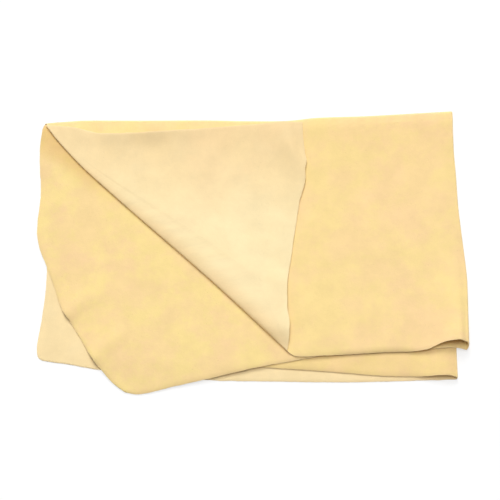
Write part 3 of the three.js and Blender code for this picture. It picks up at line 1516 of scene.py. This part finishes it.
@dataclass
class BackPair(Pair):
    """The two layers on the table.

    Args:
        inner_painted_shade, outer_tan: painted shade of the inner layer, and depth of colour of the
            outer layer.
        inner_left, inner_hem: knots of the inner layer's raw edges.
        outer_left, outer_hem: knots of the outer layer's raw edges.
        inner_seed, outer_seed: pick the strays of the knife along them.
    """

    name: str = "back_pair"
    skin_shift: float = -600.0
    inner_painted_shade: float = 0.9
    outer_tan: float = 0.6
    inner_left: Knots = ((22.0, -80.0), (58.0, -170.0), (78.0, -219.0))
    inner_hem: Knots = (
        (120.0, -225.5), (160.0, -229.8), (202.0, -233.2), (255.0, -236.8), (305.0, -240.9),
        (334.8, -241.7), (345.1, -241.8), (350.9, -241.5), (356.1, -241.3), (361.2, -241.3),
        (365.0, -241.7),
    )
    inner_seed: float = 3.0
    outer_left: Knots = (
        (3.5, -60.0), (7.6, -110.0), (9.2, -155.0), (8.1, -176.6), (6.3, -195.1),
        (4.3, -211.0), (4.2, -217.5), (4.9, -222.3), (6.7, -225.2), (9.4, -226.7),
    )
    outer_hem: Knots = (
        (12.4, -227.4), (19.8, -228.5), (34.0, -230.4), (52.0, -234.1), (100.0, -239.6),
        (156.0, -244.4), (208.0, -245.5), (270.0, -246.3), (312.0, -245.5), (345.0, -244.5),
    )
    outer_seed: float = 5.0

    @property
    def crease(self) -> RightCrease:
        """The crease that joins the layers."""
        return self.skin.back

    def lower(self, x: float, y: float) -> float:
        """Height of the outer layer."""
        return self.skin.outer_back(x, y)

    def reaches(self) -> tuple[Reach, Reach]:
        """Find how far the two layers reach.

        Returns:
            The reach of the inner layer and of the outer layer.
        """
        corner = (0.0, self.skin.panel_top(0.0))
        made = []
        for left, hem, crease, seed in (
            (self.inner_left, self.inner_hem, 0.0, self.inner_seed),
            (self.outer_left, self.outer_hem, 1.0, self.outer_seed),
        ):
            last = self.crease_spot(crease, 1.0)
            hem_edge = RawEdge((left[-1], *hem, (last.x, last.y)), seed)
            made.append(Reach(RawEdge((corner, *left), seed + 1.0), hem_edge))
        return made[0], made[1]

    def layers(self) -> tuple[Flat, Flat]:
        """Lay out the inner layer and the outer one below it.

        Returns:
            The inner layer and the outer layer.
        """
        top = self.top_edge(0.0)
        inner, outer = self.reaches()
        return (
            Flat(top, inner.hem.at, inner.left.at, self.crease_edge(0.0)),
            Flat(top, outer.hem.at, outer.left.at, self.crease_edge(1.0)),
        )

    def upper_at(self, at: Place) -> tuple[float, float]:
        """Height and painted shade of the inner layer."""
        press = self.skin.hems.pressed(at.x, at.up, self.end)
        return self.skin.inner_back(at.x, at.y) - press, self.inner_painted_shade

    def lower_at(self, at: Place) -> tuple[float, float]:
        """Height and depth of colour of the outer layer, deepened by painted shade inside the crease's
        open end.
        """
        gape = self.skin.tones.gape(self.end - at.x, at.up)
        return self.lower(at.x, at.y), lerp(self.outer_tan, 1.0, gape)

    def dress(self, sheet: bpy.types.Object, hide: Hide) -> None:
        """Finish the sheet and tie it to the back.

        Args:
            sheet: the pair's sheet.
            hide: gives the finishes.
        """
        hide.dress(sheet, Side.SUEDE, Side.PALE)
        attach(sheet, "back")
        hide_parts("back_outer_panel", "back_inner_panel", "right_crease_back")


@dataclass
class FrontPair(Pair):
    """The two layers over them, the upper one without its turned corner.

    Args:
        under: reach of the two layers below, past which the free corner falls.
        fall_widths: how far past each of them it takes to fall.
        fall_ease: how far below the top fold it takes to begin to.
        press_rate: how fast the press of the edges comes in from a corner.
        outer_hem: knots of the outer layer's raw hem.
        inner_left, inner_hem: knots of the inner layer's raw edges.
        outer_seed, inner_seed, left_seed: pick the strays of the knife along them.
    """

    name: str = "front_pair"
    depth: float = 220.0
    raw_left: bool = False
    under: tuple[Reach, ...] = ()
    fall_widths: tuple[float, ...] = (28.0, 34.0)
    fall_ease: float = 40.0
    press_rate: float = 6.0
    outer_hem: Knots = (
        (234.3, -224.6), (243.0, -224.3), (253.0, -223.7), (270.5, -222.7), (292.0, -221.3),
        (312.0, -220.1), (333.6, -219.7), (345.5, -218.4), (350.9, -216.3), (356.9, -214.0),
        (362.9, -212.5), (368.5, -211.7), (373.3, -211.5), (377.0, -211.8),
    )
    outer_seed: float = 1.0
    inner_left: Knots = (
        (-3.2, -24.0), (-1.8, -48.0), (-0.1, -68.0), (-1.2, -90.0), (-1.8, -104.0), (1.2, -121.0),
        (7.2, -136.0), (12.9, -149.3), (18.8, -165.3), (25.4, -182.0), (32.3, -191.5),
        (44.7, -211.6), (52.6, -224.8), (63.5, -238.3), (73.2, -248.6), (82.7, -255.5),
    )
    left_seed: float = 9.0
    inner_hem: Knots = (
        (94.0, -257.3), (106.9, -254.9), (125.8, -250.2), (153.6, -244.0), (174.3, -239.0),
        (200.4, -233.0), (218.0, -229.8), (238.0, -226.2), (258.0, -222.6), (290.0, -218.8),
        (325.0, -217.4), (353.0, -217.3), (361.7, -216.7), (370.5, -216.3), (376.0, -217.0),
    )
    inner_seed: float = 2.0

    @property
    def crease(self) -> RightCrease:
        """The crease that joins the layers."""
        return self.skin.front

    def lower(self, x: float, y: float) -> float:
        """Height of the inner layer, without its free corner's fall."""
        return self.skin.inner_front(x, y)

    def layers(self) -> tuple[Flat, Flat]:
        """Lay out the outer layer and the inner one below it.

        Returns:
            The outer layer and the inner layer.
        """
        skin = self.skin
        begin = skin.turn_top(1.0)
        top = skin.panel_top(begin)

        def turn(share: float) -> Vector:
            """Point where the outer layer begins to turn back."""
            y = lerp(top, skin.turn.low, share)
            return Vector((skin.turn.start(y), y))

        def plan(left: Edge, start: float, hem: Knots, crease: float, seed: float) -> Flat:
            """Span a layer between its left edge, the top fold, its raw hem and the crease.

            Args:
                left: its left edge.
                start: where its upper edge begins.
                hem: knots of its raw hem between the ends of the other edges.
                crease: 0 for the upper layer, 1 for the lower one.
                seed: picks the strays of the knife along the hem.

            Returns:
                The layer in plan.
            """
            right = self.crease_edge(crease)
            knots = (tuple(left(1.0)), *hem, tuple(right(1.0)))
            return Flat(self.top_edge(start), RawEdge(knots, seed).at, left, right)

        corner = (skin.inner_left, skin.panel_top(skin.inner_left))
        free = RawEdge((corner, *self.inner_left), self.left_seed).at
        return (
            plan(turn, begin, self.outer_hem, 0.0, self.outer_seed),
            plan(free, skin.inner_left, self.inner_hem, 1.0, self.inner_seed),
        )

    def upper_at(self, at: Place) -> tuple[float, float]:
        """Find how the outer layer lies.

        Args:
            at: the point.

        Returns:
            Its height and its depth of colour.
        """
        skin = self.skin
        press = skin.hems.pressed(at.x, at.up, self.end) * smooth(at.along * self.press_rate)
        press += skin.hems.hung(at.x, at.up)
        return skin.outer_front(at.x, at.y) - press, skin.outer_tan(at.x, at.y)

    def lower_at(self, at: Place) -> tuple[float, float]:
        """Find how the inner layer lies, whose free corner falls to the table.

        Args:
            at: the point.

        Returns:
            Its height, and its depth of colour, which is painted shade beside the slanting crease and
            inside the crease's open end.
        """
        skin, hems = self.skin, self.skin.hems
        fall = 0.0
        for reach, width in zip(self.under, self.fall_widths):
            fall += smooth(reach.beyond(at.x, at.y) / width)
        fall *= smooth((skin.panel_top(at.x) - at.y) / self.fall_ease)
        side = hems.strip(at.along * self.breadth) * smooth(at.down * self.press_rate)
        drop = fall * LEATHER.pitch + hems.press * max(hems.strip(at.up), side)
        # Painted shade: beside the slanting crease, and inside the crease's open end.
        gape = skin.tones.gape(self.end - at.x, at.up)
        return self.lower(at.x, at.y) - drop, max(skin.inner_painted_shade(at.x, at.y), gape)

    def dress(self, sheet: bpy.types.Object, hide: Hide, back_sheet: bpy.types.Object) -> None:
        """Finish the sheet and tie it to the front.

        Args:
            sheet: the pair's sheet.
            hide: gives the finishes.
            back_sheet: what it lies on; not used.
        """
        hide.dress(sheet, Side.SUEDE, Side.INNER)
        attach(sheet, "front")
        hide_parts("front_outer_panel", "front_inner_panel", "right_crease_front")


@dataclass
class TopFold:
    """The leather that bends over the top fold, both layers and the crease that joins them.

    Args:
        skin: how the skin lies.
        inner_crest, outer_crest: where the two layers begin at the top of the roll.
        columns, roll_steps: cells across each layer and round the crease, as in the pairs.
        steps: cells over the fold.
    """

    skin: FoldedSkin
    name: str = "top_fold_band"
    inner_crest: float = 1.0
    outer_crest: float = 0.2
    columns: int = Pair.columns
    roll_steps: int = Pair.roll_steps
    steps: int = 40

    def _left(self, share: float, outer: bool) -> float:
        """Left end of a layer.

        Args:
            share: 0 on the front, 1 on the back.
            outer: whether it is the outer layer, which begins on the slanting crease.

        Returns:
            Where the layer begins.
        """
        if outer:
            before, turn, _ = crossing(share)
            over = lerp(self.skin.turn_top(before), self.outer_crest, smooth(2 * turn / math.pi))
        else:
            over = lerp(self.skin.inner_left, self.inner_crest, smooth(2 * share))
        return lerp(over, 0.0, smooth(2 * share - 1))

    def build(self, maker: SheetMaker) -> bpy.types.Object:
        """Make the band as one sheet.

        Args:
            maker: makes the sheet.

        Returns:
            The sheet.
        """
        skin = self.skin
        half = LEATHER.pitch / 2
        across = 2 * self.columns + self.roll_steps

        def spot(i: int, j: int) -> Spot:
            """Point of a grid corner, from the outer layer's left end round to the inner's.

            Args:
                i, j: steps along the fold and over it.

            Returns:
                The point.
            """
            share = j / self.steps
            outer = i < self.columns + self.roll_steps
            if self.columns < i < self.columns + self.roll_steps:
                turn = (i - self.columns) / self.roll_steps * math.pi
                x = skin.top_start + skin.front.width(half) * math.sin(turn)
                rise = half * math.cos(turn)
                u = TOP_LENGTH + half * (turn - math.pi / 2)
            else:
                step = i if outer else across - i
                x = lerp(self._left(share, outer), skin.top_start, step / self.columns)
                rise = half if outer else -half
                u = x if outer else 2 * TOP_LENGTH - x
            y, z = skin.over_top(x, rise, share)
            v = (share / FLAT_SHARE - 1) * skin.flank
            rim = 1.0 if i in (0, across) else 0.0
            tan = skin.outer_tan(x, y) if outer else skin.inner_painted_shade(x, y)
            return Spot(x, y, z, u, v, rim, skin.worn_and_lit(x, y), tan)

        return maker.make(self.name, across, self.steps, spot)

    def dress(self, sheet: bpy.types.Object, hide: Hide, back_sheet: bpy.types.Object) -> None:
        """Finish the sheet and bake its place into its points.

        Args:
            sheet: the band's sheet.
            hide: gives the finishes.
            back_sheet: what it lies on; not used.
        """
        hide.dress(sheet, Side.INNER, Side.SUEDE)
        LEATHER.level(Layer.INNER_BACK) * MM
        LEATHER.level(Layer.INNER_FRONT) * MM
        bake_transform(sheet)
        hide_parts("top_crease_outer", "top_crease_inner", "top_right_turn")


@dataclass
class TurnedCorner:
    """The corner of the outer front layer, turned back along a slanting crease.

    Args:
        skin: how the skin lies.
        top_end: upper end of its roll.
        free_edge, free_seed: knots of its raw upper edge, and the strays of the knife along it.
        columns, rows, roll_steps: cells across it, down it and round its roll.
        raw: width of the cells along raw edges.
        breadth, depth: about how wide and how deep it is.
        settle, settle_least: share of its width over which it settles from the roll, and the least.
        feather: how wide a strip along its right edge lies closer.
        feather_from, feather_ease: how far from the roll that begins, and over what length.
        touch, touch_top: height of that edge over the layer below, lower down and near the top fold.
        top_low, top_ease: where the one changes to the other, and over what length.
        swells, swell_ease: its soft rises, and how far from the roll they are full.
        calm, calm_width: share of them lost on the right edge near the top fold, and how wide.
        bend_lean, bend_start, bend_span: where the leather changes from the front to the corner.
        tan_depth, tan_lean: how far from its upper edge it is deeper in colour, and the edge's lean.
        crease_shade_least, crease_shade_width: how far from its crease the painted shade reaches, at
            the top and lower down.
    """

    skin: FoldedSkin
    name: str = "turned_corner_sheet"
    top_end: float = -1.4
    free_edge: Knots = (
        (12.0, -2.2), (24.0, -3.4), (33.0, -5.2), (41.0, -8.2), (50.0, -10.4), (68.0, -11.3),
        (88.0, -11.0), (115.0, -8.6), (147.0, -5.5), (172.0, -3.0), (198.0, -0.9), (220.0, 0.6),
    )
    free_seed: float = 7.0
    columns: int = 104
    rows: int = 140
    roll_steps: int = 28
    raw: float = 0.9
    breadth: float = 200.0
    depth: float = 300.0
    settle: float = 0.8
    settle_least: float = 30.0
    feather: float = 10.0
    feather_from: float = 15.0
    feather_ease: float = 30.0
    touch: float = 1.36
    touch_top: float = 0.9
    top_low: float = -58.0
    top_ease: float = 35.0
    swells: tuple[Swell, ...] = (
        Swell(228.0, -22.0, -63.0, 34.0, 15.0, 4.4),
        Swell(92.0, -6.0, 4.0, 44.0, 14.0, 4.6),
        Swell(240.0, -74.0, -78.0, 18.0, 6.0, 0.4),
        Swell(225.0, -196.0, 90.0, 16.0, 6.0, 0.7),
    )
    swell_ease: float = 20.0
    calm: float = 0.9
    calm_width: float = 15.0
    bend_lean: float = 0.25
    bend_start: float = 0.55
    bend_span: float = 2.75
    tan_depth: float = 110.0
    tan_lean: float = 0.06
    crease_shade_least: float = 6.0
    crease_shade_width: float = 17.0

    def _tone_and_shade(self, x: float, y: float) -> float:
        """Depth of colour towards the free upper edge, and painted shade along the crease.

        Args:
            x, y: the point in plan.

        Returns:
            How deep the colour and the painted shade are.
        """
        turn = self.skin.turn
        width = lerp(self.crease_shade_least, self.crease_shade_width, turn.crown_share(y))
        # Painted shade along the slanting crease.
        beside = smooth(1 - (x - turn.line(y)) / SLANT / width)
        return max(smooth(1 + (y + self.tan_lean * x) / self.tan_depth), beside)

    def _height(self, x: float, y: float) -> float:
        """Height of the turned side, which settles from its roll onto the layer below.

        Args:
            x, y: the point in plan.

        Returns:
            The height.
        """
        turn = self.skin.turn
        start = turn.end(y)
        aside = (x - start) / SLANT
        run = self.settle * (turn.hem.x_at(y) - start) / SLANT
        roll = turn.flat + turn.crown_height(y)
        above = lerp(roll, LEATHER.pitch, smooth(aside / max(run, self.settle_least)))
        edge = turn.hem.x_at(y) - x
        feather = smooth((aside - self.feather_from) / self.feather_ease)
        feather *= smooth(1 - edge / self.feather)
        near_top = smooth((y - self.top_low) / self.top_ease)
        above = lerp(above, lerp(self.touch, self.touch_top, near_top), feather)
        rise = sum(swell.at(x, y) for swell in self.swells) * smooth(aside / self.swell_ease)
        rise *= 1 - self.calm * near_top * smooth(1 - edge / self.calm_width)
        return self.skin.outer_front(x, y) + above + rise

    def _roll_spot(self, share: float, down: float) -> Spot:
        """Point of the slanting roll: a low foot on the front layer and a wide crown over it.

        Args:
            share: 0 on the outer front layer, 1 on the turned side.
            down: 0 at the top, 1 at the front raw edge.

        Returns:
            The point.
        """
        turn = self.skin.turn
        y = lerp(self.top_end, turn.low + turn.tip * share, down)
        start, end = turn.start(y), turn.end(y)
        outer = turn.line(y) + LEATHER.thickness / 2 * SLANT
        out, up = math.sin(share * math.pi), -math.cos(share * math.pi)
        foot = share < 0.5
        x = lerp(start if foot else end, outer, out)
        z = self.skin.outer_front(start, y) + turn.flat
        z += (turn.flat if foot else turn.crown_height(y)) * up
        u, v = turn.unfolded(end, y)
        rim = 1.0 if down in (0.0, 1.0) else 0.0
        return Spot(x, y, z, lerp(start, u, share), lerp(y, v, share), rim, out, self._tone_and_shade(x, y))

    def _layout(self) -> Flat:
        """Lay out the turned side in plan.

        Returns:
            Its flat, with the roll on its left.
        """
        hem = self.skin.turn.hem.at

        def left(share: float) -> Vector:
            """Point where the roll ends."""
            spot = self._roll_spot(1.0, share)
            return Vector((spot.x, spot.y))

        def bottom(share: float) -> Vector:
            """Point of the narrow lower end."""
            return left(1.0).lerp(hem(1.0), share)

        top = RawEdge((tuple(left(0.0)), *self.free_edge, tuple(hem(0.0))), self.free_seed)
        return Flat(top.at, bottom, left, hem)

    def build(self, maker: SheetMaker) -> bpy.types.Object:
        """Make the corner and its roll as one sheet.

        Args:
            maker: makes the sheet.

        Returns:
            The sheet.
        """
        flat = self._layout()
        narrow = self.raw / self.depth

        def spot(i: int, j: int) -> Spot:
            """Point of a grid corner, from the outer front layer round to the free edge.

            Args:
                i, j: steps across and down.

            Returns:
                The point.
            """
            down = crowd(j, self.rows, narrow, narrow)
            if i < self.roll_steps:
                return self._roll_spot(i / self.roll_steps, down)
            step = i - self.roll_steps
            x, y = flat.at(crowd(step, self.columns, 0.0, self.raw / self.breadth), down)
            rim = 1.0 if step == self.columns or j in (0, self.rows) else 0.0
            u, v = self.skin.turn.unfolded(x, y)
            return Spot(x, y, self._height(x, y), u, v, rim, 0.0, self._tone_and_shade(x, y))

        return maker.make(self.name, self.roll_steps + self.columns, self.rows, spot)

    def bend(self) -> tuple[Vector, Vector]:
        """Find where the leather stops following the front and follows the corner.

        Returns:
            Start and end of the change, up through the roll and a little into the corner.
        """
        angle = math.radians(self.skin.turn.angle)
        way = Vector((math.sin(angle) * self.bend_lean, math.cos(angle) * self.bend_lean, 1.0))
        low = LEATHER.level(Layer.OUTER_FRONT) + self.bend_start
        start = Vector((ORIGIN_X, ORIGIN_Y, low)) * MM
        return start, start + way * (self.bend_span * MM / way.length_squared)

    def dress(self, sheet: bpy.types.Object, hide: Hide, front_sheet: bpy.types.Object) -> None:
        """Finish the sheet and bake its place into its points.

        Args:
            sheet: the corner's sheet.
            hide: gives the finishes.
            front_sheet: what it lies on; not used.
        """
        hide.dress(sheet, Side.PALE, Side.SUEDE)
        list(self.bend())
        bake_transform(sheet)
        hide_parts("turned_corner", "turned_corner_crease")


class Chamois:
    """The whole leather: its four sheets, dressed, and its two pairs tied to the moving bodies."""

    def __init__(self) -> None:
        """Fold the skin and make its finishes."""
        self.skin = FoldedSkin()
        self.maker = SheetMaker()
        self.hide = Hide()

    def build(self) -> list[bpy.types.Object]:
        """Make and dress all four sheets, and tie the two pairs to the moving bodies.

        Returns:
            The sheets.
        """
        back = BackPair(self.skin)
        back_sheet = back.build(self.maker)
        back.dress(back_sheet, self.hide)

        front = FrontPair(self.skin, under=back.reaches())
        front_sheet = front.build(self.maker)
        front.dress(front_sheet, self.hide, back_sheet)

        band = TopFold(self.skin)
        band_sheet = band.build(self.maker)
        band.dress(band_sheet, self.hide, back_sheet)

        corner = TurnedCorner(self.skin)
        corner_sheet = corner.build(self.maker)
        corner.dress(corner_sheet, self.hide, front_sheet)
        return [back_sheet, front_sheet, band_sheet, corner_sheet]


@dataclass(frozen=True)
class Lamp:
    """A wide soft box aimed at the middle of the table.

    Args:
        name: the lamp's name.
        watts: its power.
        size: its width in metres.
        elevation: its height over the table in degrees, seen from the middle.
        aside: how far to the right it hangs, as a share of its distance.
        distance: its distance in metres.
    """

    name: str
    watts: float
    size: float
    elevation: float
    aside: float
    distance: float = 9.0

    def hang(self) -> None:
        """Hang the lamp."""
        lamp = bpy.data.lights.new(self.name, "AREA")
        lamp.shape = "DISK"
        lamp.size = self.size
        lamp.energy = self.watts
        rise = math.radians(self.elevation)
        way = Vector((self.aside, math.cos(rise), math.sin(rise))) * self.distance
        stand(put(self.name, lamp), Vector(), way)


@dataclass(frozen=True)
class Studio:
    """The table, the light and the camera.

    Args:
        elevation, distance: where the camera stands, in degrees and metres.
        target: what it looks at.
        lens, sensor: its focal length and the width of its sensor.
        table_half, table_cells: half the table's width, and its cells.
        table_white: the table's colour.
        white: colour of the light and of the background.
        glow: how much of the table's shadow the camera doesn't see.
        sky: strength of the light all round.
        lamps: the soft boxes.
    """

    elevation: float = 69.0
    distance: float = 1.25
    target: tuple[float, float, float] = (0.0, -0.0019, 0.0)
    lens: float = 100.0
    sensor: float = 36.0
    table_half: float = 3.0
    table_cells: int = 8
    table_white: tuple[float, ...] = (0.98, 0.98, 0.98, 1.0)
    white: tuple[float, ...] = (1.0, 1.0, 1.0, 1.0)
    glow: float = 0.65
    sky: float = 0.20
    lamps: tuple[Lamp, ...] = (
        Lamp("top_box", watts=460.0, size=6.8, elevation=82.0, aside=0.0),
        Lamp("back_box", watts=515.0, size=4.5, elevation=42.0, aside=-0.10),
    )

    def build(self) -> None:
        """Set the whole studio up."""
        self._table()
        self._sky()
        for lamp in self.lamps:
            lamp.hang()
        self._camera()
        bpy.context.scene.view_settings.view_transform = "Standard"

    @staticmethod
    def _seen(pad: NodePad) -> bpy.types.NodeSocket:
        """Tell the rays that show the background to the camera, straight or by way of a shine.

        Args:
            pad: places the nodes.

        Returns:
            A socket that gives 1 for those rays and 0 for others.
        """
        path = pad.add("ShaderNodeLightPath").outputs
        seen = pad.math("MAXIMUM", path["Is Camera Ray"], path["Is Glossy Ray"])
        return pad.math("MAXIMUM", seen, path["Is Transmission Ray"])

    def _table(self) -> None:
        """Lay the pale table, which shows the camera its shadows at a part of their strength."""
        bm = bmesh.new()
        cells = self.table_cells
        bmesh.ops.create_grid(bm, x_segments=cells, y_segments=cells, size=self.table_half)
        mesh = bpy.data.meshes.new("table")
        bm.to_mesh(mesh)
        bm.free()
        made = bpy.data.materials.new("table_white")
        pad = NodePad.blank(made)
        lit = pad.add("ShaderNodeBsdfDiffuse", {"Color": self.table_white})
        plain = pad.add("ShaderNodeEmission", {"Color": self.white, "Strength": 1.0})
        share = pad.math("MULTIPLY", self._seen(pad), self.glow)
        mixed = pad.add("ShaderNodeMixShader", {0: share, 1: lit.outputs[0], 2: plain.outputs[0]})
        pad.add("ShaderNodeOutputMaterial", {"Surface": mixed.outputs[0]})
        mesh.materials.append(made)
        put("table", mesh)

    def _sky(self) -> None:
        """Light all round, seen by the camera as white."""
        world = bpy.data.worlds.new("studio")
        pad = NodePad.blank(world)
        lit = pad.add("ShaderNodeBackground", {"Color": self.white, "Strength": self.sky})
        plain = pad.add("ShaderNodeBackground", {"Color": self.white, "Strength": 1.0})
        inputs = {0: self._seen(pad), 1: lit.outputs[0], 2: plain.outputs[0]}
        mixed = pad.add("ShaderNodeMixShader", inputs)
        pad.add("ShaderNodeOutputWorld", {"Surface": mixed.outputs[0]})
        bpy.context.scene.world = world

    def _camera(self) -> None:
        """Stand the camera where the picture was taken from."""
        data = bpy.data.cameras.new("camera")
        data.lens = self.lens
        data.sensor_width = self.sensor
        data.sensor_fit = "HORIZONTAL"
        camera = put("camera", data)
        rise = math.radians(self.elevation)
        way = Vector((0.0, -math.cos(rise), math.sin(rise))) * self.distance
        stand(camera, Vector(self.target), way)
        bpy.context.scene.camera = camera


def main() -> None:
    """Build the leather and its studio."""
    logging.basicConfig(level=logging.INFO, format="%(name)s: %(message)s")
    for sheet in Chamois().build():
        log.info("%s: %d points", sheet.name, len(sheet.data.vertices))
    Studio().build()


if __name__ == "__main__":
    main()
